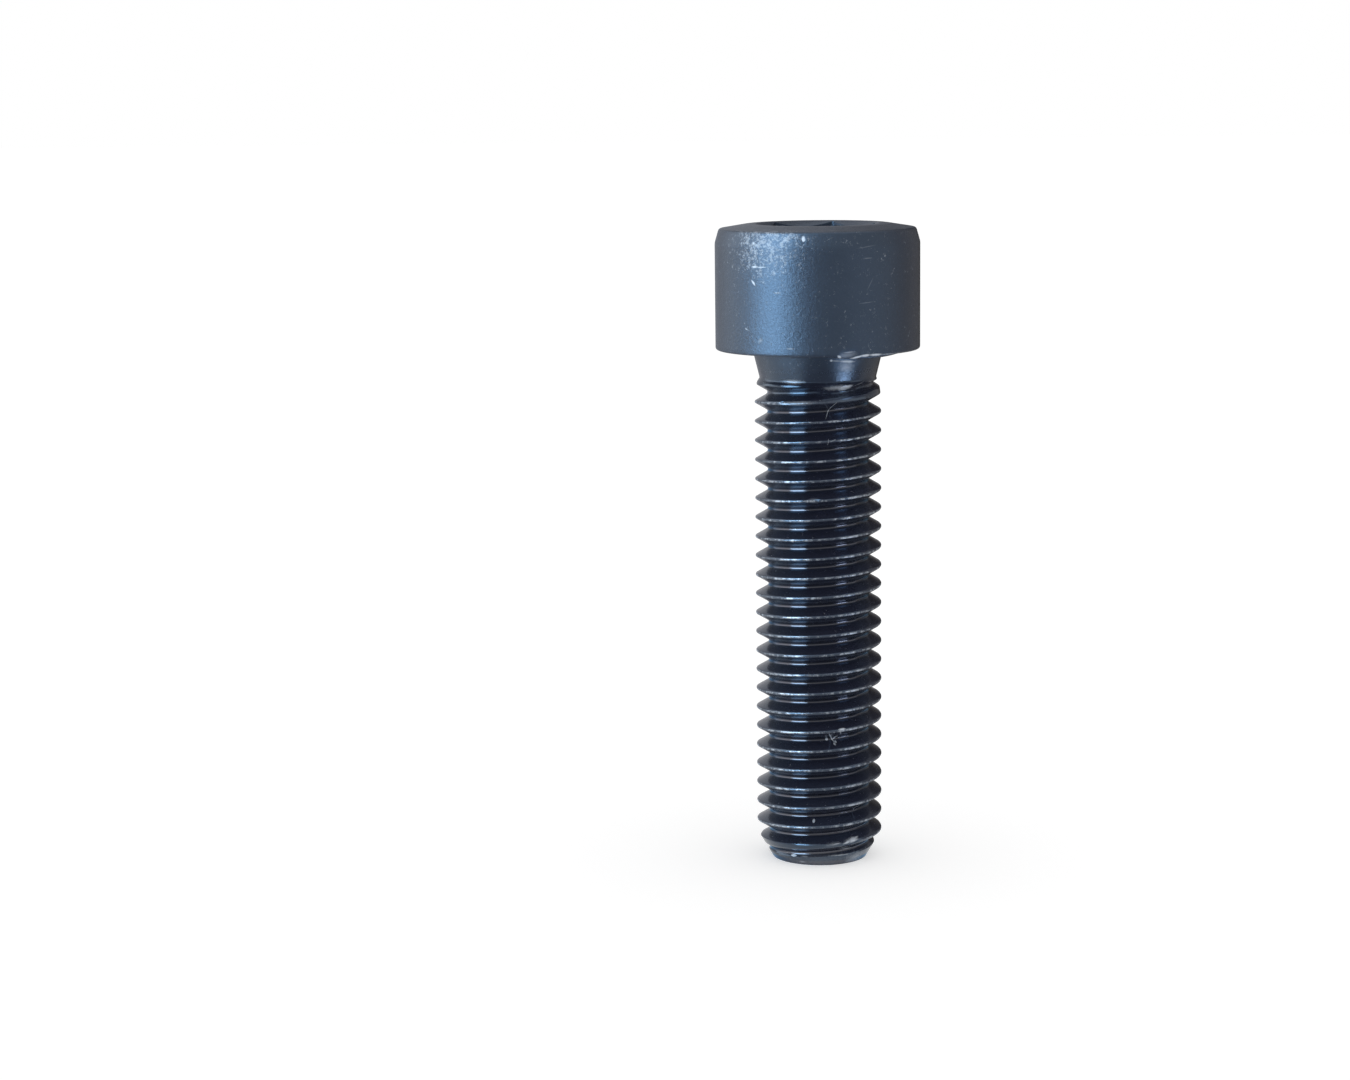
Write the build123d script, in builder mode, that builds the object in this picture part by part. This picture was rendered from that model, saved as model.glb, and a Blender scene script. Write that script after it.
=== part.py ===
"""Cylinder head bolt: a steel cap screw with a hexagon socket, headed and thread-rolled from one piece.

Lengths are in millimetres and angles in degrees. The bolt stands on its tip: the origin is the middle of the
flat end of the thread, and +Z runs along the axis to the head.
"""

import os
from math import atan, ceil, cos, degrees, radians, tan

from build123d import *

# Thread: a right-hand metric coarse thread, 60 degrees between its flanks.
thread_pitch = 1.5
thread_crest_d = 9.82
thread_depth_share = 0.673  # of the pitch
crest_flat_share = 0.08  # of the pitch
flank_angle = 30  # of each flank from the plane square to the axis
tip_chamfer_in = 1.21  # the chamfer takes this much off the crest's radius at the tip
tip_chamfer_angle = 30  # from the axis
thread_end_gap = 1.82  # plain neck between the thread's end and the head
thread_end_side = 180  # angle about the axis where the groove starts to climb out

# Shank between the thread and the head. The rolled blank is thinner than the finished crest.
shank_length = 40.0
neck_length = 2.2  # from the head down to the waist
waist_in = 0.42  # under the crest
collar_in = 0.2  # the last crest, pressed up less than the others
collar_step = 0.32  # from the waist down to the collar
collar_taper = 1.5  # length over which the last crest loses height
neck_flare = 0.12  # past the crest, where the neck meets the head
under_head_radius = 0.4

# Head.
head_d = 15.75
head_height = 9.6
head_chamfer_in = 0.31
head_chamfer_height = 1.08
head_crown_d = 11.1  # flat middle of the top, which slopes down from here to the chamfer
head_crown_rise = 0.33
head_bottom_chamfer = 0.2

# Hexagon socket.
socket_across_flats = 8.0
socket_depth = 5.0
socket_turn = 15  # of the hexagon's corner from +X towards +Y
socket_floor_dish = 0.6  # the punch leaves a shallow cone below the full depth
socket_mouth_margin = 0.08  # of the countersunk mouth past the hexagon's corners
socket_mouth_angle = 60  # of the countersink from the axis

cut_overrun = 0.12  # cutters reach this far past the surface that they cut

# Radii and heights that follow.
crest_r = thread_crest_d / 2
root_r = crest_r - thread_depth_share * thread_pitch
tip_r = crest_r - tip_chamfer_in
waist_r = crest_r - waist_in
collar_r = crest_r - collar_in
neck_top_r = crest_r + neck_flare
head_r = head_d / 2
socket_flat_r = socket_across_flats / 2
socket_corner_r = socket_flat_r / cos(radians(30))
socket_mouth_r = socket_corner_r + socket_mouth_margin

tip_chamfer_z = tip_chamfer_in / tan(radians(tip_chamfer_angle))
bearing_z = shank_length
waist_z = bearing_z - neck_length
collar_z = waist_z - collar_step
taper_z = collar_z - collar_taper
top_z = bearing_z + head_height
head_edge_z = top_z - head_crown_rise
head_chamfer_z = head_edge_z - head_chamfer_height
socket_floor_z = top_z - socket_depth

# The groove's full depth ends one turn below the plain neck. In that last turn it climbs out of the neck's cone.
thread_end_z = bearing_z - thread_end_gap
climb_z = thread_end_z - thread_pitch
neck_slope = (neck_top_r - waist_r) / neck_length
neck_end_r = waist_r + neck_slope * (thread_end_z - waist_z)
climb_angle = degrees(atan((neck_end_r + cut_overrun - root_r) / thread_pitch))
full_turns = ceil(climb_z / thread_pitch) + 1

# Groove section, by its half widths along the axis at the root and past the crest.
flank_slope = tan(radians(flank_angle))
groove_r = crest_r + cut_overrun
groove_half = (1 - crest_flat_share) * thread_pitch / 2 + cut_overrun * flank_slope
root_half = groove_half - (groove_r - root_r) * flank_slope


def groove_turn(climb):
    """One turn of the thread's groove as a solid, rising from the XZ plane and climbing outwards at an angle."""
    with BuildPart() as turn:
        with BuildLine() as path:
            Helix(thread_pitch, thread_pitch, root_r, cone_angle=climb)
        with BuildSketch(Plane.XZ):
            with BuildLine():
                Polyline(
                    (root_r, -root_half),
                    (groove_r, -groove_half),
                    (groove_r, groove_half),
                    (root_r, root_half),
                    close=True,
                )
            make_face()
        sweep(path=path.line, is_frenet=True)
    return turn.part


# Half section of the blank from the tip's middle to the top's middle: each corner with its rounding.
outline = [
    ((0, 0), 0),
    ((tip_r, 0), 0),
    ((crest_r, tip_chamfer_z), 0),
    ((crest_r, taper_z), 0),
    ((collar_r, collar_z), 0),
    ((waist_r, waist_z), 0),
    ((neck_top_r, bearing_z), under_head_radius),
    ((head_r - head_bottom_chamfer, bearing_z), 0),
    ((head_r, bearing_z + head_bottom_chamfer), 0),
    ((head_r, head_chamfer_z), 0),
    ((head_r - head_chamfer_in, head_edge_z), 0),
    ((head_crown_d / 2, top_z), 0),
    ((0, top_z), 0),
]

full_turn = groove_turn(0)
last_turn = groove_turn(climb_angle)

with BuildPart() as bolt:
    # Headed blank: shank, neck and head in one turned form.
    with BuildSketch(Plane.XZ):
        with BuildLine():
            FilletPolyline(*[corner for corner, _ in outline], radius=[r for _, r in outline], close=True)
        make_face()
    revolve(axis=Axis.Z)

    # Socket: hexagon, dished floor and countersunk mouth.
    with BuildSketch(Plane.XY.offset(socket_floor_z)):
        RegularPolygon(socket_flat_r, 6, major_radius=False, rotation=socket_turn)
    extrude(amount=socket_depth, mode=Mode.SUBTRACT)
    with BuildSketch(Plane.XZ):
        with BuildLine():
            Polyline(
                (0, socket_floor_z - socket_floor_dish),
                (socket_flat_r, socket_floor_z),
                (0, socket_floor_z),
                close=True,
            )
        make_face()
    with BuildSketch(Plane.XZ):
        with BuildLine():
            Polyline(
                (0, top_z - socket_mouth_r / tan(radians(socket_mouth_angle))),
                (socket_mouth_r, top_z),
                (0, top_z),
                close=True,
            )
        make_face()
    revolve(axis=Axis.Z, mode=Mode.SUBTRACT)

    # Thread: the groove's full turns from below the tip upwards, then the turn that runs out in the neck.
    with Locations(*[(0, 0, climb_z - (turn + 1) * thread_pitch) for turn in range(full_turns)]):
        add(full_turn, rotation=(0, 0, thread_end_side), mode=Mode.SUBTRACT)
    with Locations((0, 0, climb_z)):
        add(last_turn, rotation=(0, 0, thread_end_side), mode=Mode.SUBTRACT)

bolt.part.label = "cylinder_head_bolt"

os.makedirs("parts", exist_ok=True)
export_step(bolt.part, "parts/cylinder_head_bolt.step")
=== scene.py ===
"""Dresses the cylinder head bolt: black oxide steel on a white studio floor, seen as in the photograph.

Sizes on the bolt are in millimetres and become metres where a mesh is written. Those of the room are in
metres. Angles are counted in degrees about the bolt's axis from the side that faces the camera, positive to
the camera's right.
"""

import math
from functools import partial

import bmesh
import bpy
import numpy as np
from mathutils import Euler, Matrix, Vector


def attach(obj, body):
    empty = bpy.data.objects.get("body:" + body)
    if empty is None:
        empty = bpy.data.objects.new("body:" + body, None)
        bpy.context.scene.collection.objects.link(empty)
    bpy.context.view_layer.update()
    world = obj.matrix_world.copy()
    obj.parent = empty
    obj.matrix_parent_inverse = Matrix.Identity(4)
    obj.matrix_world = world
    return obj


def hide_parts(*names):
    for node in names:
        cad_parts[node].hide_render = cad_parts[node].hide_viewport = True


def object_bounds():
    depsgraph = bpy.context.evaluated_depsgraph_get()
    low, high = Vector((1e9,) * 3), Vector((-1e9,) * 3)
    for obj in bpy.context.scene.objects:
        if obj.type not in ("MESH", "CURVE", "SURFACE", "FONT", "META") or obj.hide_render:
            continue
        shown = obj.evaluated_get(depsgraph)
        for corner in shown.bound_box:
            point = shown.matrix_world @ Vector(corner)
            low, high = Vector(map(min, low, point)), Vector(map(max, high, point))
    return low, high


MM = 0.001
MATH = "ShaderNodeMath"
VECTOR_MATH = "ShaderNodeVectorMath"
MAP_RANGE = "ShaderNodeMapRange"
NOISE = "ShaderNodeTexNoise"
MIX_FROM, MIX_TO, MIX_RESULT = 6, 7, 2  # a Mix node's colour sockets, which share their names with others

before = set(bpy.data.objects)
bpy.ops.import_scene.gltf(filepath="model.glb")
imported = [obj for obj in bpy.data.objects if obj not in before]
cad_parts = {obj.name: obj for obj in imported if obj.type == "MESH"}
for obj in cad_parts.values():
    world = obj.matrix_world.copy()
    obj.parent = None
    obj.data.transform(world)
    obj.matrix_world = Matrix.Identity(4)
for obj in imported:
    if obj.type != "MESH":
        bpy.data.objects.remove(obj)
cad_low, cad_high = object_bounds()

# Thread, as the solid has it.
THREAD_PITCH = 1.5
CREST_RADIUS = 4.91
ROOT_RADIUS = 3.9005
ROOT_HALF_WIDTH = 0.1072
FLANK_RISE = 1 / math.tan(math.radians(30))
TIP_RADIUS = 3.7
TIP_SLOPE = math.tan(math.radians(30))
CLIMB_HEIGHT = 36.68  # the groove starts to climb out here, at the left of the picture
CLIMB_SLOPE = 0.535
GROOVES_BELOW = 25  # turns of the groove below the one that climbs out
GROOVE_AT_X = CLIMB_HEIGHT + THREAD_PITCH / 2 - GROOVES_BELOW * THREAD_PITCH  # first groove, on the right

# What rolling leaves on the thread, too fine for the solid: rounded edges and slightly uneven crests.
ROOT_ROUNDING = 0.1
CREST_ROUNDING = 0.1
BLANK_ROUNDING = 0.06
RIPPLE_DEPTH = 0.05
RIPPLE_LENGTH = 1.25
RIPPLE_DETAIL = 5.0
RIPPLE_ROUGHNESS = 0.65

# Shank above the thread, as radius and height.
TAPER = (CREST_RADIUS, 35.98)
COLLAR = (4.71, 37.48)
WAIST = (4.49, 37.8)
NECK_TOP = (5.03, 40.0)
THREAD_TOP = 38.7  # the wound sheet of the thread ends here, on the plain neck

# Head.
HEAD_RADIUS = (cad_high.x - cad_low.x) / 2 / MM
TOP_HEIGHT = cad_high.z / MM
BEARING_HEIGHT = NECK_TOP[1]
CROWN_RADIUS = 5.55  # flat middle of the top
CROWN_RISE = 0.33
HEAD_CHAMFER_IN = 0.31
HEAD_CHAMFER_HEIGHT = 1.08
CROWN_ROUNDING = 2.0
HEAD_EDGE_ROUNDING = 0.25
HEAD_CHAMFER_ROUNDING = 0.9
HEAD_BOTTOM_ROUNDING = 0.2
UNDER_HEAD_ROUNDING = 0.4
SOCKET_FLAT_RADIUS = 4.0
SOCKET_CORNER_RADIUS = SOCKET_FLAT_RADIUS / math.cos(math.radians(30))
SOCKET_MOUTH_MARGIN = 0.08
SOCKET_MOUTH_RADIUS = SOCKET_CORNER_RADIUS + SOCKET_MOUTH_MARGIN
SOCKET_MOUTH_SLOPE = 1 / math.tan(math.radians(60))
SOCKET_DEPTH = 5.0
SOCKET_FLOOR = TOP_HEIGHT - SOCKET_DEPTH
SOCKET_DISH = 0.6
SOCKET_TURN = 15

# Mesh: columns round the shank, of which the head has twice as many, and the rows and rings across them.
COLUMNS = 140
ROWS_PER_TURN = 20
SHEET_TURNS = 27
ROW_CROWDING = 0.04  # of a turn, by which rows move towards the root and the crest
MESH_STEP = 0.3
ARC_STEP = 18
SEAT_WIDTH = 1.2  # inner part of the bearing face, still on the shank's columns
TIP_RINGS = (3.5, 2.5, 1.2)
SOCKET_LEVELS = 5
SOCKET_FLOOR_RINGS = (3.96, 2.5, 1.0)
SEAM_WELD = 0.001
RING_WELD = 0.002
NEAR_AXIS = 0.001  # least radius by which a mark's depth is divided
SHARP_ANGLE = math.radians(42)

# Camera, as found from the thread's pitch along the shank: distances from the bolt's axis and from its tip.
CAMERA_DISTANCE = 226.77 * MM
CAMERA_HEIGHT = 60.09 * MM
CAMERA_PITCH = math.radians(8.76)
CAMERA_YAW = math.radians(2.82)
CAMERA_ROLL = math.radians(-0.64)
FOCAL_PIXELS = 2945
FRAME_WIDTH_PIXELS = 1350
SENSOR_WIDTH = 36
CLIP_START = 0.01

# Blows, scratches, rubbed places, painted glints and a painted reflection: angle, height, half length along
# the mark, half width, tilt of the mark from level in degrees, depth (below 0 it stands out), softness of its
# edge and share of bare steel.
HEAD_MARKS = (
    (17, 40.16, 0.85, 0.28, 6, 0.18, 0.4, 0.22),  # leaf-shaped nick in the lower rim, with its pale edges
    (17.5, 40.36, 0.6, 0.05, 3, 0, 0.3, 0.5),
    (12, 40.02, 0.22, 0.12, -30, 0, 0.2, 1.0),
    (22, 39.96, 0.66, 0.09, 14, 0, 0.2, 1.0),
    (30, 40.05, 1.1, 0.14, 2, -0.06, 0, 0),  # lip of steel turned out right of it
    (27, 40.07, 0.48, 0.11, 4, 0, 0.2, 1.0),
    (33.6, 40.08, 0.75, 0.1, 0, 0, 0.3, 1.0),
    (42, 40.06, 1.5, 0.07, 0, 0, 0.5, 0.4),
    (-7.7, 48.8, 0.14, 0.24, 5, 0.03, 0, 1.0),  # scratches on the head's side, brighter on the left
    (-36.5, 46.69, 0.36, 0.11, 3, 0.02, 0.3, 1.0),
    (-32, 46.68, 0.6, 0.05, 2, 0.02, 0.3, 0.9),
    (-37.5, 45.5, 0.34, 0.1, -48, 0.03, 0.2, 1.0),
    (-37.6, 48.43, 0.2, 0.16, 20, 0.02, 0.5, 0.9),
    (-29, 47.2, 0.3, 0.05, -20, 0, 0.3, 0.6),
    (-22.4, 44.8, 0.36, 0.06, 3, 0.01, 0.3, 0.5),
    (-42.8, 42.0, 0.2, 0.08, -30, 0.02, 0.3, 0.6),
    (-33, 41.2, 0.3, 0.2, 30, 0.02, 0.6, 0.3),
    (-15, 40.65, 0.42, 0.05, 0, 0.01, 0.3, 0.4),
    (28, 48.15, 0.9, 0.05, 8, 0.01, 0.3, 0.12),
    (28.4, 47.3, 0.45, 0.06, 3, 0.01, 0.3, 0.16),
    (30, 45.4, 0.6, 0.05, 60, 0.01, 0.3, 0.1),
    (27.5, 44.0, 0.7, 0.05, 4, 0.01, 0.3, 0.14),
)
SHANK_MARKS = (
    (27.5, 39.37, 0.8, 0.12, -4, 0, 0.3, 1.0),  # neck under the nick
    (12, 39.49, 0.14, 0.1, 0, 0, 0.2, 0.9),
    (17, 39.45, 0.7, 0.08, -5, 0, 0.4, 0.4),
    (27, 38.95, 0.75, 0.5, 0, 0, 0.9, 0.55),
    (-25, 37.82, 1.2, 0.22, 0, 0, 0.4, 0.5),  # collar, where the end of the groove is smeared over
    (22, 37.24, 1.7, 0.34, 2.8, -0.34, 0, 0),
    (20, 37.38, 1.4, 0.25, 2.8, 0, 0.7, 0.7),
    (26, 37.37, 0.9, 0.22, 6, 0, 0.3, 1.0),
    (43, 37.55, 0.7, 0.06, 15, 0, 0.4, 0.3),
    (-18, 36.24, 1.9, 0.18, 2.8, 0.08, 0.6, 0.4),  # first crest, rolled flat
    (20, 36.39, 5.0, 0.22, 2.8, 0.08, 0.9, 0.12),
    (12.5, 35.7, 0.85, 0.045, 55, 0, 0, 0.7),  # hair-fine scratches under the neck
    (9.3, 33.28, 0.3, 0.05, 85, 0, 0, 0.3),
    (13.5, 33.4, 0.3, 0.05, 20, 0, 0, 0.3),
    (-4.2, 28.82, 0.62, 0.2, 0, 0.14, 0, 0.08),  # crest pressed flat
    (-24.2, 25.68, 0.15, 0.12, 0, 0.04, 0.2, 1.0),
    # The pale marks of the gouges stand in for the glint of their burrs, too fine for the mesh: partly a
    # painted highlight.
    (12.7, 10.3, 0.62, 0.07, -54, 0, 0, 1.0),  # crossing gouges between two turns
    (18.2, 10.22, 0.32, 0.08, 32, 0, 0, 1.0),
    (20.3, 10.75, 0.3, 0.06, -54, 0, 0, 0.6),
    (21.5, 11.0, 0.35, 0.08, 2.8, 0, 0.2, 1.0),
    (8.4, 10.1, 0.16, 0.14, 0, 0, 0, 1.0),
    (17.9, 9.9, 0.12, 0.1, 0, 0, 0.2, 0.8),
    (16, 9.78, 0.12, 0.1, 0, 0, 0.2, 0.8),
    (43.4, 4.5, 0.35, 0.06, 75, 0.04, 0, 1.0),  # single chips above the tip
    (-5.8, 3.7, 0.14, 0.13, 0, 0, 0, 1.0),
    (31, 2.05, 0.95, 0.28, 9, 0.12, 0, 0),  # bruise at the tip, with torn streaks
    (31, 2.05, 0.85, 0.22, 9, 0, 0.8, 0.5),
    (27.5, 1.98, 0.5, 0.12, 14, 0, 0.3, 1.0),
    (33.5, 2.08, 0.65, 0.17, 12, 0, 0.3, 1.0),
    (38.5, 2.2, 0.3, 0.06, 12, 0, 0.3, 0.9),
    (26.5, 1.5, 0.65, 0.06, 2, 0, 0.4, 0.6),
    (13, 1.92, 0.8, 0.18, 6, 0, 0.9, 0.4),
    (16, 1.96, 0.45, 0.05, 8, 0, 0.4, 0.7),
    (30.6, 1.28, 0.8, 0.07, 0, 0, 0.2, 0.6),
    (22, 0.86, 1.5, 0.07, 0, 0, 0.4, 0.6),  # edge and chamfer of the tip: rubbed, partly painted light
    # pale steel on the chamfer's right is a painted reflection of the bright floor beside the tip
    (46, 0.45, 1.7, 0.55, 0, 0, 0.8, 0.6),
    # painted highlights: a glint, dashes and specks of pale steel on the chamfer's left
    (-30, 0.74, 0.36, 0.09, 0, 0, 0, 1.0),
    (-17, 0.76, 0.5, 0.06, 0, 0, 0.6, 0.6),
    (-20, 0.25, 0.5, 0.12, 0, 0, 0.8, 0.5),
    (0, 0.5, 4.5, 0.7, 0, 0, 0.9, 0.16),
)
MARK_RAGGEDNESS = 0.4  # how far the grain frays a mark's edge
MARK_OUTER, MARK_INNER = 1.2, 0.85  # where a mark starts and is full, in its half sizes plus the grain's part

# Lip of the head's lower rim, turned down by the blow: angle, half length, inner radius, top height and drop.
LIP_ANGLE = 28
LIP_HALF_LENGTH = 3.1
LIP_RADIUS = 7.4
LIP_TOP = 40.6
LIP_DROP = 0.2

# Patterns of the skin: width, detail and roughness. The film's own crystals are thousandths of a millimetre
# wide and would not show, so its grain is drawn as coarse as the pits of the forged skin.
SKIN_PATTERNS = {
    "grain": (0.22, 5.0, 0.65),
    "cloud": (2.6, 3.0, 0.5),
    "cluster": (0.9, 1.0, 0.5),
    "speck": (0.28, 5.0, 0.85),
    "break": (0.5, 5.0, 0.7),
}
HEAD_SKIN_START = COLLAR[1] - 0.4  # from here up to the head the thread's gloss gives way to the head's satin
GRAIN_DEPTH = 0.032
THREAD_RELIEF, HEAD_RELIEF = 0.25, 0.95
THREAD_ROUGHNESS, HEAD_ROUGHNESS = 0.12, 0.34
GRAIN_ROUGHNESS = 0.08  # this and the next two are added where there is grain, bare steel or a root
BARE_ROUGHNESS = 0.3
ROOT_ROUGHNESS = -0.04

# Film rubbed to specks on the upper left of the head: middle and half size, by length along the head's side
# and height. A range has the two values that it reads, then the two shares that these give, or 0 and 1.
RUBBED_MIDDLE = (-4.4, 48.6, 0)
RUBBED_HALF = (5.6, 4.8, 1)
RUBBED_MOST = 0.16
RUBBED_RANGE = (1.0, 0.2, 0.0, RUBBED_MOST)
RUBBED_ELSEWHERE = 0.022  # sparse specks on the rest of the head
TOP_RANGE = (TOP_HEIGHT - 0.1, TOP_HEIGHT - CROWN_RISE, 0.0, RUBBED_MOST)  # the top itself stays whole
CLUSTER_SHARE = 0.14
SPECK_RANGE = (0.7, 0.8, 0.0, 0.45)

# Worn crests and burnished roots, by their share of the thread's height. Six sides are worn the most.
CREST_RANGE = (0.942, 0.964)
ROOT_RANGE = (0.96, 0.985)
BREAK_RANGE = (0.46, 0.66, 0.06, 0.8)
WORN_SIDES = 6
WORN_SIDE_ANGLE = 33
WORN_SIDE_SHARE = 0.04

# Colours of the film, which is dark and paler in clouds with a blue sheen, and of the steel under it, also
# used for painted glints.
FILM_DARK = "#20222F"
FILM_PALE = "#282A38"
FILM_SHEEN = "#BEDFFF"
FILM_GLOSS = 1.0
BURNISHED_ROOT = "#54555C"
BARE_STEEL_AND_PAINTED_LIGHT = "#C6CCD4"
BARE_METAL = 0.65  # how metallic the steel looks where it is rubbed
TORN_METAL_AND_PAINTED_GLINT = -0.35  # added where it is torn: paler and more matt, partly a painted glint

# What the steel mirrors of the room round it: name, first and last angle, section by distance and height,
# colour and strength.
WINDOW = ((0.16, 0.001), (0.16, 0.26))
WALL = ((0.7, 0.0005), (0.7, 0.9))
FLOOR = ((0.012, 0.0005), (0.7, 0.0005))
NEAR_FLOOR = (FLOOR[0], (0.2, 0.0005))
COVE = (*FLOOR, WALL[1])
PALE_SHEET = ((0.045, 0.0008), (0.08, 0.0008))
RIGHT_SHEET = ((0.04, 0.0008), (0.09, 0.0008))
CORNER = ((0.5, 0.13), (0.5, 0.42))
ROOM = (
    ("window", -66, -32, WINDOW, "#C8E8FF", 10.0),
    ("bright_wall", -125, -66, WALL, "#FFFFFF", 2.0),
    ("bright_floor", -125, -66, FLOOR, "#FFFFFF", 1.1),
    ("back_left", -180, -125, COVE, "#C6C6CA", 1.0),
    ("front_wall", -32, 95, WALL, "#D6D6D6", 1.0),
    ("front_floor", -32, 30, FLOOR, "#868A92", 1.0),
    ("side_floor", 30, 95, NEAR_FLOOR, "#7C828C", 1.0),
    ("pale_sheet", 45, 67, PALE_SHEET, "#D8E7FF", 9.0),
    ("right_sheet", 95, 150, RIGHT_SHEET, "#E0D8D2", 1.0),
    ("right_wall", 95, 150, COVE, "#9A948F", 1.0),
    ("back_right", 150, 170, COVE, "#585450", 1.0),
    ("far_back", 170, 186, COVE, "#848284", 1.0),
    ("dark_corner", 150, 172, CORNER, "#3C3836", 1.0),
)
CARD_STEPS = 16

# White world and floor.
WHITE = (1, 1, 1, 1)
WORLD_LIGHT = 0.85
FLOOR_TINT = "#DADADA"
FLOOR_GLOW = 0.45
FLOOR_HALF = 3.0


def colour(text):
    """Turns an sRGB hex value into linear red, green and blue, with full alpha."""
    shares = [int(text[place : place + 2], 16) / 255 for place in (1, 3, 5)]
    return [*(s / 12.92 if s <= 0.04045 else ((s + 0.055) / 1.055) ** 2.4 for s in shares), 1.0]


def add(tree, kind, *values, sockets=None, **settings):
    """Adds a node with its settings.

    Its sockets, in order or by name or number, take a value, a socket or a node's first output.
    """
    node = tree.nodes.new(kind)
    for name, setting in settings.items():
        setattr(node, name, setting)
    for socket, value in {**dict(enumerate(values)), **(sockets or {})}.items():
        if isinstance(value, bpy.types.Node):
            value = value.outputs[0]
        if isinstance(value, bpy.types.NodeSocket):
            tree.links.new(value, node.inputs[socket])
        else:
            node.inputs[socket].default_value = value
    return node


def thread_tree(sizes):
    """Geometry Nodes for a rolled thread.

    A sheet whose rows follow the helix is wound round the axis and welded.
    """
    tree = bpy.data.node_groups.new("rolled thread", "GeometryNodeTree")
    kinds = {int: "NodeSocketInt", float: "NodeSocketFloat", bpy.types.Material: "NodeSocketMaterial"}
    for name, value in sizes.items():
        tree.interface.new_socket(name, in_out="INPUT", socket_type=kinds[type(value)])
    tree.interface.new_socket("Thread", in_out="OUTPUT", socket_type="NodeSocketGeometry")
    size = add(tree, "NodeGroupInput").outputs

    rows = add(tree, MATH, size["Turns"], size["Rows per turn"], 1, operation="MULTIPLY_ADD")
    columns = add(tree, MATH, size["Columns"], 1)
    spans = {"Size X": 1, "Size Y": 1, "Vertices X": columns, "Vertices Y": rows}
    sheet = add(tree, "GeometryNodeMeshGrid", sockets=spans)
    place = add(tree, "ShaderNodeSeparateXYZ", add(tree, "GeometryNodeInputPosition")).outputs
    around = add(tree, MATH, place["X"], 0.5)
    along = add(tree, MATH, place["Y"], 0.5)

    # Turns along the helix, counted from a groove's middle. Rows crowd together at the root and at the crest.
    turn = add(tree, MATH, along, size["Turns"], -1, operation="MULTIPLY_ADD")
    wave = add(tree, MATH, turn, 2 * math.tau, operation="MULTIPLY")
    wave = add(tree, MATH, wave, operation="SINE")
    turn = add(tree, MATH, wave, -ROW_CROWDING, turn, operation="MULTIPLY_ADD")
    groove = add(tree, MATH, turn, operation="ROUND")
    heights = []
    for count in (turn, groove):
        wound = add(tree, MATH, count, around)
        heights.append(add(tree, MATH, wound, size["Pitch"], size["First groove"], operation="MULTIPLY_ADD"))
    helix, groove_height = heights
    height = add(tree, "ShaderNodeClamp", helix, 0.0, size["Top"])

    # Groove: flat root, straight flanks, and the climb of its last turn.
    aside = add(tree, MATH, add(tree, MATH, turn, groove, operation="SUBTRACT"), operation="ABSOLUTE")
    aside = add(tree, MATH, aside, size["Pitch"], operation="MULTIPLY")
    aside = add(tree, MATH, aside, size["Root half width"], operation="SUBTRACT")
    flank = add(tree, MATH, aside, 0.0, size["Root rounding"], operation="SMOOTH_MAX")
    flank = add(tree, MATH, flank, size["Flank rise"], size["Root radius"], operation="MULTIPLY_ADD")
    climb = add(tree, MATH, groove_height, size["Climb height"], operation="SUBTRACT")
    climb = add(tree, MATH, climb, 0.0, operation="MAXIMUM")
    flank = add(tree, MATH, climb, size["Climb slope"], flank, operation="MULTIPLY_ADD")

    # Blank: the crest's cylinder, a little uneven, between the tip's chamfer and the neck.
    angle = add(tree, MATH, around, math.tau, operation="MULTIPLY")
    turned = [add(tree, MATH, angle, operation=operation) for operation in ("COSINE", "SINE")]
    compass = [add(tree, MATH, side, size["Crest radius"], operation="MULTIPLY") for side in turned]
    uneven = {
        "Vector": add(tree, "ShaderNodeCombineXYZ", *compass, height),
        "Scale": size["Ripple scale"],
        "Detail": RIPPLE_DETAIL,
        "Roughness": RIPPLE_ROUGHNESS,
    }
    ripple = add(tree, MATH, add(tree, NOISE, sockets=uneven), size["Ripple"], operation="MULTIPLY")
    blank = add(tree, MATH, size["Crest radius"], ripple, operation="SUBTRACT")
    for part, joined in (("Tip", "MIN"), ("Taper", "MIN"), ("Collar", "MIN"), ("Neck", "MAX")):
        above = add(tree, MATH, height, size[f"{part} height"], operation="SUBTRACT")
        line = add(tree, MATH, above, size[f"{part} slope"], size[f"{part} radius"], operation="MULTIPLY_ADD")
        blank = add(tree, MATH, blank, line, size["Blank rounding"], operation=f"SMOOTH_{joined}")
    radius = add(tree, MATH, flank, blank, size["Crest rounding"], operation="SMOOTH_MIN")

    # Shares of the thread's height, up from the root and down to it, are kept for the material's worn crests
    # and burnished roots.
    ends = size["Root radius"], size["Crest radius"]
    for name, (low, high) in {"crest": ends, "root": ends[::-1]}.items():
        share = add(tree, MAP_RANGE, radius, low, high)
        kept = {"Geometry": sheet, "Name": name, "Value": share}
        sheet = add(tree, "GeometryNodeStoreNamedAttribute", sockets=kept, data_type="FLOAT", domain="POINT")
    sides = [add(tree, MATH, side, radius, operation="MULTIPLY") for side in turned]
    wound = add(tree, "ShaderNodeCombineXYZ", *sides, height)
    wound = add(tree, VECTOR_MATH, wound, sockets={"Scale": MM}, operation="SCALE")
    sheet = add(tree, "GeometryNodeSetPosition", sockets={"Geometry": sheet, "Position": wound})
    sheet = add(tree, "GeometryNodeMergeByDistance", sockets={"Geometry": sheet, "Distance": SEAM_WELD * MM})
    sheet = add(tree, "GeometryNodeRealizeInstances", sheet)
    sheet = add(tree, "GeometryNodeSetMaterial", sockets={"Geometry": sheet, "Material": size["Material"]})
    add(tree, "NodeGroupOutput", sheet)
    return tree


def slope(low, high):
    """Gain of radius over height between two points of the section."""
    return (high[0] - low[0]) / (high[1] - low[1])


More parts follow.
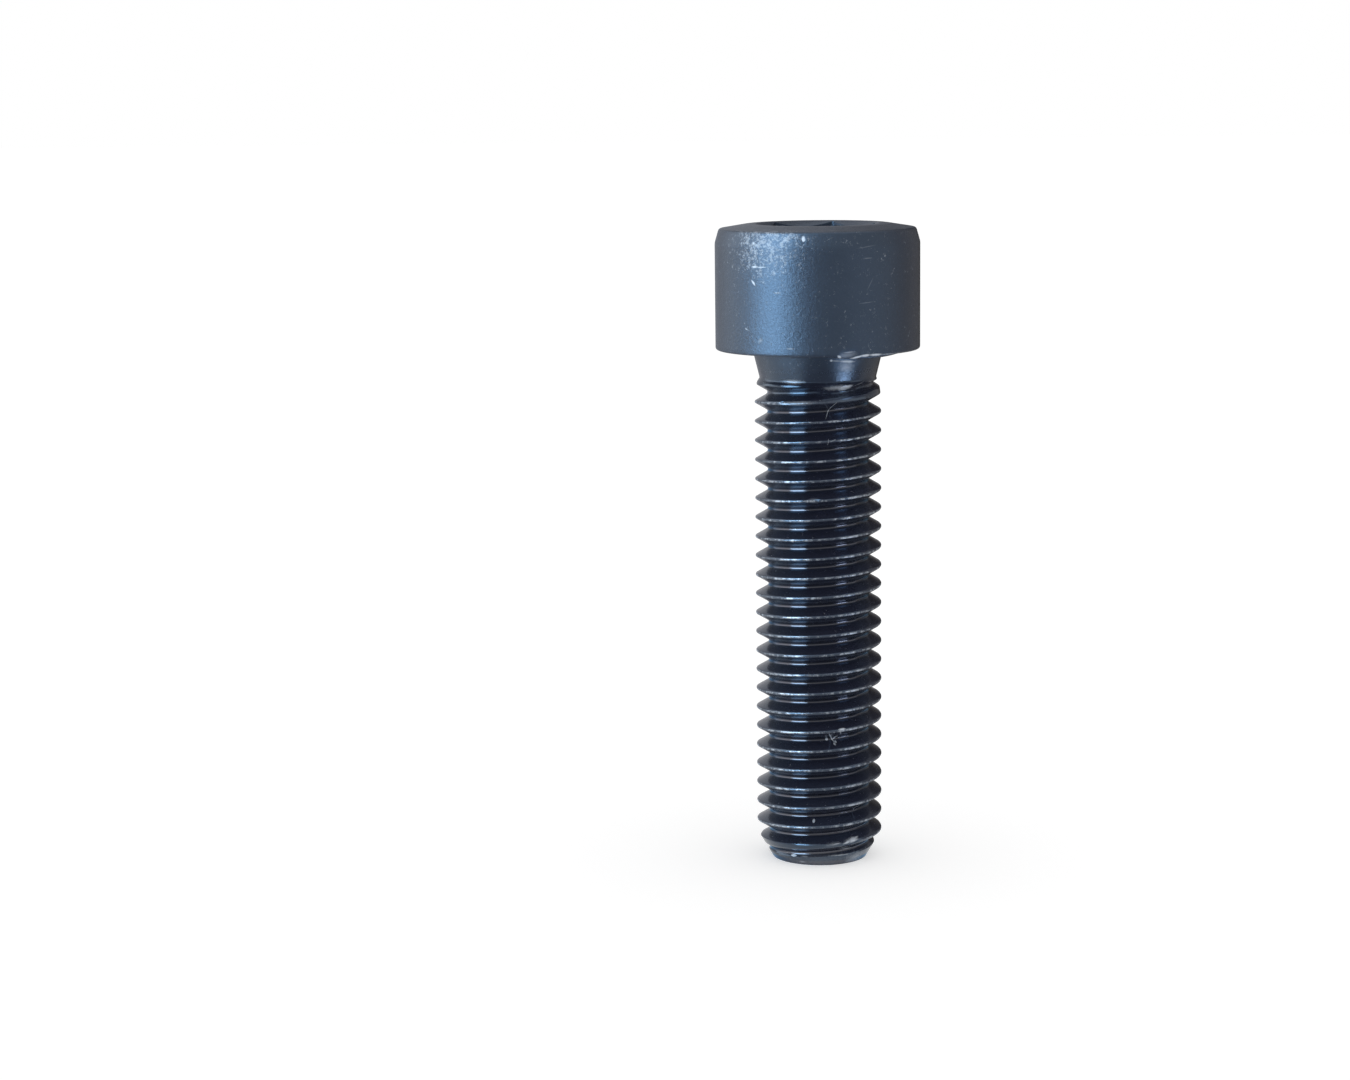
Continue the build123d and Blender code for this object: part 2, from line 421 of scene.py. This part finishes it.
def rolled_thread(material):
    """Mesh of the threaded shank, from the edge of the tip to the plain neck."""
    sizes = {
        "Columns": COLUMNS,
        "Rows per turn": ROWS_PER_TURN,
        "Turns": SHEET_TURNS,
        "Pitch": THREAD_PITCH,
        "First groove": GROOVE_AT_X,
        "Top": THREAD_TOP,
        "Root half width": ROOT_HALF_WIDTH,
        "Root radius": ROOT_RADIUS,
        "Root rounding": ROOT_ROUNDING,
        "Flank rise": FLANK_RISE,
        "Climb height": CLIMB_HEIGHT,
        "Climb slope": CLIMB_SLOPE,
        "Crest radius": CREST_RADIUS,
        "Crest rounding": CREST_ROUNDING,
        "Ripple": RIPPLE_DEPTH,
        "Ripple scale": 1 / RIPPLE_LENGTH,
        "Blank rounding": BLANK_ROUNDING,
        "Tip radius": TIP_RADIUS,
        "Tip height": 0.0,
        "Tip slope": TIP_SLOPE,
        "Taper radius": TAPER[0],
        "Taper height": TAPER[1],
        "Taper slope": slope(TAPER, COLLAR),
        "Collar radius": COLLAR[0],
        "Collar height": COLLAR[1],
        "Collar slope": slope(COLLAR, WAIST),
        "Neck radius": WAIST[0],
        "Neck height": WAIST[1],
        "Neck slope": slope(WAIST, NECK_TOP),
        "Material": material,
    }
    tree = thread_tree(sizes)
    shank = bpy.data.objects.new("shank", bpy.data.meshes.new("shank"))
    bpy.context.scene.collection.objects.link(shank)
    winding = shank.modifiers.new("winding", "NODES")
    winding.node_group = tree
    for socket in tree.interface.items_tree:
        if socket.in_out == "INPUT":
            winding[socket.identifier] = sizes[socket.name]
    mesh = bpy.data.meshes.new_from_object(shank.evaluated_get(bpy.context.evaluated_depsgraph_get()))
    bpy.data.objects.remove(shank)
    return mesh


def rounded(corners, step):
    """Points along a line through corners, each a radius, a height and a rounding, at most a step apart."""
    line = [Vector(corners[0][:2])]
    for before, here, after in zip(corners, corners[1:], corners[2:]):
        corner = Vector(here[:2])
        back = (Vector(before[:2]) - corner).normalized()
        ahead = (Vector(after[:2]) - corner).normalized()
        half = back.angle(ahead) / 2
        centre = corner + (back + ahead).normalized() * here[2] / math.sin(half)
        start = corner + back * here[2] / math.tan(half) - centre
        end = corner + ahead * here[2] / math.tan(half) - centre
        steps = max(2, math.ceil(math.degrees(start.angle(end)) / ARC_STEP))
        line += [centre + start.slerp(end, part / steps).normalized() * here[2] for part in range(steps + 1)]
    line.append(Vector(corners[-1][:2]))
    spread = [line[0]]
    for low, high in zip(line, line[1:]):
        count = max(1, math.ceil((high - low).length / step))
        spread += [low.lerp(high, part / count) for part in range(1, count + 1)]
    return spread


def hexagon_radius(angle):
    """Distance from the axis to the socket's wall in a direction from +X, in radians."""
    sixth = math.radians(60)
    return SOCKET_FLAT_RADIUS / math.cos((angle - math.radians(SOCKET_TURN)) % sixth - sixth / 2)


def wall_height(level, radius):
    """Height on the socket's wall, a number of levels down from the countersunk mouth towards the floor."""
    mouth = TOP_HEIGHT - (SOCKET_MOUTH_RADIUS - radius) * SOCKET_MOUTH_SLOPE
    return mouth + (SOCKET_FLOOR - mouth) * level / SOCKET_LEVELS


def dish_height(radius):
    """Height of the socket's dished floor."""
    return SOCKET_FLOOR - SOCKET_DISH * (1 - radius / SOCKET_FLAT_RADIUS)


def ring(form, columns, radius, height):
    """A ring of vertices. Radius and height are numbers, or functions of the angle and of the radius."""
    vertices = []
    for column in range(columns):
        angle = math.tau * column / columns
        r = radius(angle) if callable(radius) else radius
        z = height(r) if callable(height) else height
        vertices.append(form.verts.new(Vector((r * math.cos(angle), r * math.sin(angle), z)) * MM))
    return vertices


def bridge(form, low, high):
    """Faces between two rings, seen from outside with the second above.

    The second has as many vertices as the first, or twice as many.
    """
    for column, corner in enumerate(low):
        following = low[(column + 1) % len(low)]
        if len(high) == len(low):
            form.faces.new((corner, following, high[(column + 1) % len(high)], high[column]))
            continue
        left, middle, right = (high[(2 * column + part) % len(high)] for part in range(3))
        form.faces.new((corner, following, middle))
        form.faces.new((corner, middle, left))
        form.faces.new((following, right, middle))


def cap(form, rim, radii, height, outwards):
    """Closes a ring with smaller rings and a middle point.

    At the tip outwards is true, in the socket it is false.
    """
    rings = [rim] + [ring(form, len(rim), radius, height) for radius in radii]
    for outer, inner in zip(rings, rings[1:]):
        bridge(form, *((inner, outer) if outwards else (outer, inner)))
    middle = form.verts.new((0, 0, (height(0) if callable(height) else height) * MM))
    last = rings[-1]
    for column, corner in enumerate(last):
        following = last[(column + 1) % len(last)]
        form.faces.new((middle, following, corner) if outwards else (corner, following, middle))


def bolt_mesh(material):
    """The whole bolt as one closed mesh: rolled thread, neck and head with its socket."""
    form = bmesh.new()
    form.from_mesh(rolled_thread(material))
    cap(form, ring(form, COLUMNS, TIP_RADIUS, 0), TIP_RINGS, 0, True)

    # Neck and the inner part of the bearing face, then the head on twice as many columns.
    neck_radius = WAIST[0] + slope(WAIST, NECK_TOP) * (THREAD_TOP - WAIST[1])
    seat_radius = NECK_TOP[0] + SEAT_WIDTH
    neck_corners = [
        (neck_radius, THREAD_TOP),
        (*NECK_TOP, UNDER_HEAD_ROUNDING),
        (seat_radius, BEARING_HEIGHT),
    ]
    edge_height = TOP_HEIGHT - CROWN_RISE
    head_corners = [
        (seat_radius + MESH_STEP, BEARING_HEIGHT),
        (HEAD_RADIUS, BEARING_HEIGHT, HEAD_BOTTOM_ROUNDING),
        (HEAD_RADIUS, edge_height - HEAD_CHAMFER_HEIGHT, HEAD_CHAMFER_ROUNDING),
        (HEAD_RADIUS - HEAD_CHAMFER_IN, edge_height, HEAD_EDGE_ROUNDING),
        (CROWN_RADIUS, TOP_HEIGHT, CROWN_ROUNDING),
        (SOCKET_MOUTH_RADIUS, TOP_HEIGHT),
    ]
    rings = [ring(form, COLUMNS, *point) for point in rounded(neck_corners, MESH_STEP)]
    rings += [ring(form, 2 * COLUMNS, *point) for point in rounded(head_corners, MESH_STEP)]

    # Socket: countersunk mouth, hexagon walls and dished floor.
    for level in range(SOCKET_LEVELS + 1):
        rings.append(ring(form, 2 * COLUMNS, hexagon_radius, partial(wall_height, level)))
    for low, high in zip(rings, rings[1:]):
        bridge(form, low, high)
    cap(form, rings[-1], SOCKET_FLOOR_RINGS, dish_height, False)

    bmesh.ops.remove_doubles(form, verts=form.verts, dist=RING_WELD * MM)
    bmesh.ops.recalc_face_normals(form, faces=form.faces)
    mesh = bpy.data.meshes.new("cylinder_head_bolt_dressed")
    form.to_mesh(mesh)
    form.free()
    press_marks(mesh)
    mesh.shade_smooth()
    mesh.set_sharp_from_angle(angle=SHARP_ANGLE)
    mesh.materials.clear()
    mesh.materials.append(material)
    return mesh


def press_marks(mesh):
    """Presses the marks in, towards the axis, and turns down the lip of the head's lower rim."""
    spots = np.empty(len(mesh.vertices) * 3, dtype=np.float32)
    mesh.vertices.foreach_get("co", spots)
    spots = spots.reshape(-1, 3) / MM
    radius = np.hypot(spots[:, 0], spots[:, 1])
    angle = np.degrees(np.arctan2(spots[:, 0], -spots[:, 1]))
    pressed = np.zeros(len(spots), dtype=np.float32)
    for at, height, half_length, half_width, tilt, depth, _, _ in (*HEAD_MARKS, *SHANK_MARKS):
        across, up = np.radians(angle - at) * radius, spots[:, 2] - height
        lean = math.radians(tilt)
        along = (across * math.cos(lean) + up * math.sin(lean)) / half_length
        aside = (up * math.cos(lean) - across * math.sin(lean)) / half_width
        pressed += depth * np.clip(1 - along**2 - aside**2, 0, 1)

    # The socket stays as it is.
    outside = radius > SOCKET_MOUTH_RADIUS * (spots[:, 2] > SOCKET_FLOOR - SOCKET_DISH)
    keep = 1 - np.where(outside, pressed, 0) / np.maximum(radius, NEAR_AXIS)
    spots[:, :2] *= keep[:, None]
    lip = np.clip(1 - (np.radians(angle - LIP_ANGLE) * radius / LIP_HALF_LENGTH) ** 2, 0, 1)
    lip *= np.clip((LIP_TOP - spots[:, 2]) / (LIP_TOP - BEARING_HEIGHT), 0, 1) * (radius > LIP_RADIUS)
    spots[:, 2] -= LIP_DROP * lip
    mesh.vertices.foreach_set("co", (spots * MM).ravel())
    mesh.update()


def torn_film_and_painted_light(tree, charts, grain):
    """Share of bare steel in the marks, frayed by the grain; a few are painted glints and a painted
    reflection.
    """
    torn_and_painted_light = 0.0
    for chart, radius, marks in zip(charts, (HEAD_RADIUS, CREST_RADIUS), (HEAD_MARKS, SHANK_MARKS)):
        for at, up, half_length, half_width, tilt, _, soft, shine in marks:
            middle = (math.radians(at) * radius, up, 0)
            lean, size = (0, 0, math.radians(tilt)), (half_length, half_width, 1)
            mark = add(tree, "ShaderNodeMapping", chart, middle, lean, size, vector_type="TEXTURE")
            mark = add(tree, VECTOR_MATH, mark, operation="LENGTH").outputs["Value"]
            mark = add(tree, MATH, grain, MARK_RAGGEDNESS + soft, mark, operation="MULTIPLY_ADD")
            mark = add(tree, MAP_RANGE, mark, MARK_OUTER + soft / 2, MARK_INNER - soft / 2, 0.0, shine)
            torn_and_painted_light = add(tree, MATH, torn_and_painted_light, mark, operation="MAXIMUM")
    return torn_and_painted_light


def black_oxide_steel():
    """Forged and rolled steel under a black oxide film.

    It is a blue-black satin on the forged head, glossier on the rolled thread, and silvery where the film is
    rubbed or torn off. Pale steel also paints a few glints and a reflection on the tip's chamfer.
    """
    material = bpy.data.materials.new("black_oxide_steel")
    material.use_nodes = True
    tree = material.node_tree
    tree.nodes.clear()
    place = add(tree, "ShaderNodeTexCoord").outputs["Object"]
    place = add(tree, VECTOR_MATH, place, sockets={"Scale": 1 / MM}, operation="SCALE")
    east, south, height = add(tree, "ShaderNodeSeparateXYZ", place).outputs
    south = add(tree, MATH, south, -1, operation="MULTIPLY")
    angle = add(tree, MATH, add(tree, MATH, east, south, operation="ARCTAN2"), operation="DEGREES")

    # Charts of the head's side and of the shank, by length round the axis and height.
    charts = []
    for radius in (HEAD_RADIUS, CREST_RADIUS):
        across = add(tree, MATH, angle, math.radians(radius), operation="MULTIPLY")
        charts.append(add(tree, "ShaderNodeCombineXYZ", across, height, 0.0))
    skin = {}
    for name, (width, detail, roughness) in SKIN_PATTERNS.items():
        pattern = {"Vector": place, "Scale": 1 / width, "Detail": detail, "Roughness": roughness}
        skin[name] = add(tree, NOISE, sockets=pattern)
    head = add(tree, MAP_RANGE, height, HEAD_SKIN_START, BEARING_HEIGHT)

    # Film worn to fine specks on the upper left of the head, and sparsely on the rest of it.
    rubbed = {"Vector": charts[0], "Location": RUBBED_MIDDLE, "Scale": RUBBED_HALF}
    rubbed = add(tree, "ShaderNodeMapping", sockets=rubbed, vector_type="TEXTURE")
    rubbed = add(tree, VECTOR_MATH, rubbed, operation="LENGTH").outputs["Value"]
    rubbed = add(tree, MAP_RANGE, rubbed, *RUBBED_RANGE, interpolation_type="SMOOTHSTEP")
    sparse = add(tree, MATH, head, RUBBED_ELSEWHERE, operation="MULTIPLY")
    rubbed = add(tree, MATH, rubbed, sparse, operation="MAXIMUM")
    rubbed = add(tree, MATH, rubbed, add(tree, MAP_RANGE, height, *TOP_RANGE), operation="MINIMUM")
    specks = add(tree, MATH, skin["speck"], rubbed)
    specks = add(tree, MATH, skin["cluster"], CLUSTER_SHARE, specks, operation="MULTIPLY_ADD")
    specks = add(tree, MAP_RANGE, specks, *SPECK_RANGE)

    # Crests rubbed bright on their high spots, more on some sides than between them, and roots burnished by
    # the rolls.
    first_side = math.radians(-WORN_SIDES * WORN_SIDE_ANGLE)
    sides = add(tree, MATH, angle, math.radians(WORN_SIDES), first_side, operation="MULTIPLY_ADD")
    sides = add(tree, MATH, sides, operation="COSINE")
    breaks = add(tree, MATH, sides, WORN_SIDE_SHARE, skin["break"], operation="MULTIPLY_ADD")
    breaks = add(tree, MAP_RANGE, breaks, *BREAK_RANGE)
    crest = add(tree, "ShaderNodeAttribute", attribute_name="crest").outputs["Fac"]
    crest = add(tree, MAP_RANGE, crest, *CREST_RANGE)
    crest = add(tree, MATH, crest, breaks, operation="MULTIPLY")
    root = add(tree, "ShaderNodeAttribute", attribute_name="root").outputs["Fac"]
    root = add(tree, MAP_RANGE, root, *ROOT_RANGE)
    torn_and_painted_light = torn_film_and_painted_light(tree, charts, skin["grain"])
    bare_and_painted_light = add(tree, MATH, specks, crest, operation="MAXIMUM")
    bare_and_painted_light = add(tree, MATH, bare_and_painted_light, torn_and_painted_light, operation="MAXIMUM")

    # Colour, metal and gloss of the film, the roots and the bare steel with its painted glints, and the pits
    # of the skin.
    finish = colour(FILM_DARK)
    for share, tint in ((skin["cloud"], FILM_PALE), (root, BURNISHED_ROOT), (bare_and_painted_light, BARE_STEEL_AND_PAINTED_LIGHT)):
        tints = {MIX_FROM: finish, MIX_TO: colour(tint)}
        finish = add(tree, "ShaderNodeMix", share, sockets=tints, data_type="RGBA").outputs[MIX_RESULT]
    metal = add(tree, MATH, bare_and_painted_light, BARE_METAL, operation="MULTIPLY")
    metal = add(tree, MATH, torn_and_painted_light, TORN_METAL_AND_PAINTED_GLINT, metal, operation="MULTIPLY_ADD")
    metal = add(tree, MATH, metal, root, operation="MAXIMUM")
    rough = add(tree, MAP_RANGE, head, 0.0, 1.0, THREAD_ROUGHNESS, HEAD_ROUGHNESS)
    for share, more in ((skin["grain"], GRAIN_ROUGHNESS), (bare_and_painted_light, BARE_ROUGHNESS), (root, ROOT_ROUGHNESS)):
        rough = add(tree, MATH, share, more, rough, operation="MULTIPLY_ADD")
    relief = add(tree, MAP_RANGE, head, 0.0, 1.0, THREAD_RELIEF, HEAD_RELIEF)
    pits = {"Height": skin["grain"], "Strength": relief, "Distance": GRAIN_DEPTH * MM}
    surface = {
        "Base Color": finish,
        "Metallic": metal,
        "Roughness": rough,
        "Specular IOR Level": FILM_GLOSS,
        "Specular Tint": colour(FILM_SHEEN),
        "Normal": add(tree, "ShaderNodeBump", sockets=pits),
    }
    shader = add(tree, "ShaderNodeBsdfPrincipled", sockets=surface)
    add(tree, "ShaderNodeOutputMaterial", shader)
    return material


def seen_rays(tree):
    """1 for what the camera, reflections and glass see, 0 for the light that falls on other things."""
    path = add(tree, "ShaderNodeLightPath").outputs
    seen = add(tree, MATH, path["Is Camera Ray"], path["Is Glossy Ray"], operation="MAXIMUM")
    return add(tree, MATH, seen, path["Is Transmission Ray"], operation="MAXIMUM")


def white_world():
    """White for what is seen, and a softer level for the light itself."""
    world = bpy.data.worlds.new("studio")
    bpy.context.scene.world = world
    world.use_nodes = True
    tree = world.node_tree
    tree.nodes.clear()
    strength = add(tree, MAP_RANGE, seen_rays(tree), 0.0, 1.0, WORLD_LIGHT, 1.0)
    add(tree, "ShaderNodeOutputWorld", add(tree, "ShaderNodeBackground", WHITE, strength))


def white_floor():
    """A wide pale floor that melts into the white behind it and keeps the shadow at the bolt's tip."""
    material = bpy.data.materials.new("white_card")
    material.use_nodes = True
    tree = material.node_tree
    tree.nodes.clear()
    level = add(tree, MATH, seen_rays(tree), FLOOR_GLOW, operation="MULTIPLY")
    glow = add(tree, "ShaderNodeEmission", WHITE, level)
    matt = add(tree, "ShaderNodeBsdfDiffuse", colour(FLOOR_TINT))
    add(tree, "ShaderNodeOutputMaterial", add(tree, "ShaderNodeAddShader", matt, glow))
    mesh = bpy.data.meshes.new("floor")
    corners = [(x * FLOOR_HALF, y * FLOOR_HALF, 0) for x, y in ((-1, -1), (1, -1), (1, 1), (-1, 1))]
    mesh.from_pydata(corners, [], [(0, 1, 2, 3)])
    mesh.materials.append(material)
    floor = bpy.data.objects.new("floor", mesh)
    bpy.context.scene.collection.objects.link(floor)


def card(name, start, end, section, tint, strength):
    """A card bent round the bolt from one angle to another, by its section of distances and heights.

    Only reflections see it, as they would the window and the dim parts of a room.
    """
    material = bpy.data.materials.new(name)
    material.use_nodes = True
    tree = material.node_tree
    tree.nodes.clear()
    add(tree, "ShaderNodeOutputMaterial", add(tree, "ShaderNodeEmission", colour(tint), strength))
    form = bmesh.new()
    turns = [math.radians(start + (end - start) * step / CARD_STEPS) for step in range(CARD_STEPS + 1)]
    rows = []
    for reach, height in section:
        points = [(reach * math.sin(turn), -reach * math.cos(turn), height) for turn in turns]
        rows.append([form.verts.new(point) for point in points])
    for low, high in zip(rows, rows[1:]):
        for step in range(CARD_STEPS):
            form.faces.new((low[step], low[step + 1], high[step + 1], high[step]))
    mesh = bpy.data.meshes.new(name)
    form.to_mesh(mesh)
    form.free()
    mesh.materials.append(material)
    bent = bpy.data.objects.new(name, mesh)
    bent.visible_camera = bent.visible_diffuse = bent.visible_shadow = False
    bpy.context.scene.collection.objects.link(bent)


def make_camera():
    """Stands the camera in front of the bolt and a little above the head, turned left of it."""
    data = bpy.data.cameras.new("camera")
    data.sensor_width = SENSOR_WIDTH
    data.lens = SENSOR_WIDTH * FOCAL_PIXELS / FRAME_WIDTH_PIXELS
    data.clip_start = CLIP_START
    camera = bpy.data.objects.new("camera", data)
    camera.location = (0, -CAMERA_DISTANCE, CAMERA_HEIGHT)
    turn = Euler((math.radians(90) - CAMERA_PITCH, 0, CAMERA_YAW)).to_matrix()
    roll = Euler((0, 0, CAMERA_ROLL)).to_matrix()
    camera.rotation_euler = (turn @ roll).to_euler()
    bpy.context.scene.collection.objects.link(camera)
    bpy.context.scene.camera = camera


steel = black_oxide_steel()
bolt = bpy.data.objects.new("cylinder_head_bolt_dressed", bolt_mesh(steel))
bpy.context.scene.collection.objects.link(bolt)
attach(bolt, "root")
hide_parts("cylinder_head_bolt")

white_world()
white_floor()
for part in ROOM:
    card(*part)
make_camera()

bpy.context.scene.view_settings.view_transform = "Standard"
